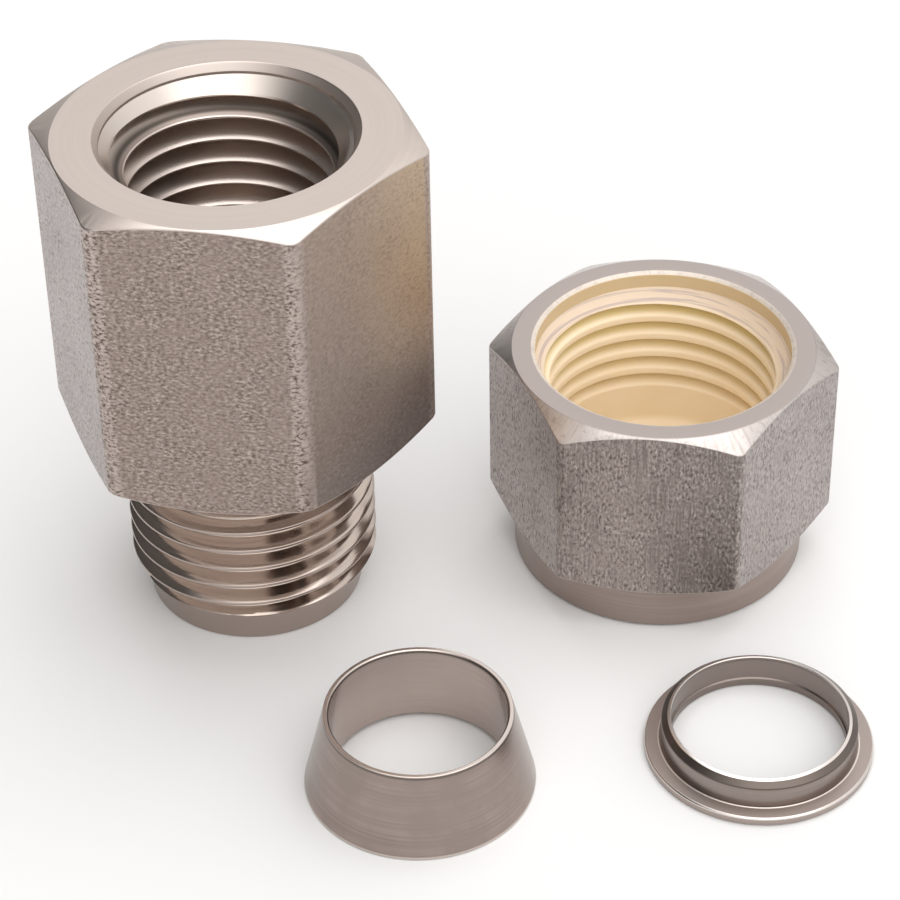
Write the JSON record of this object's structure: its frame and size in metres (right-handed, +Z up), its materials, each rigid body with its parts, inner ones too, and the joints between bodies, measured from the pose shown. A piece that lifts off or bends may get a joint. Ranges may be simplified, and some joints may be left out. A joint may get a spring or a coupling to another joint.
{
  "type": "female tube connector",
  "caption": "Stainless steel tube fitting taken apart: hexagon body with a female pipe port and a threaded stub, hexagon nut, front and back ferrules.",
  "frame": {"origin": "on the plane that the four pieces stand on, under the middle of the whole set's box", "axes": "+Z up, out of the body's pipe port; +X from the body towards the nut; +Y from the ferrules towards the body and the nut"},
  "size_m": [0.0452, 0.0362, 0.0303],
  "materials": {
    "body_steel": "stainless steel, turned ends and threads, drawn flats with a fine pitted grain",
    "nut_steel": "stainless steel with a rough grain on the flats, and a cream dry lubricant inside",
    "front_ferrule_steel": "finely turned stainless steel with a bright rim",
    "back_ferrule_steel": "finely turned stainless steel with bright edges"
  },
  "bodies": {
    "root": {"connector_body": "body_steel", "nut": "nut_steel", "front_ferrule": "front_ferrule_steel", "back_ferrule": "back_ferrule_steel"}
  },
  "joints": []
}
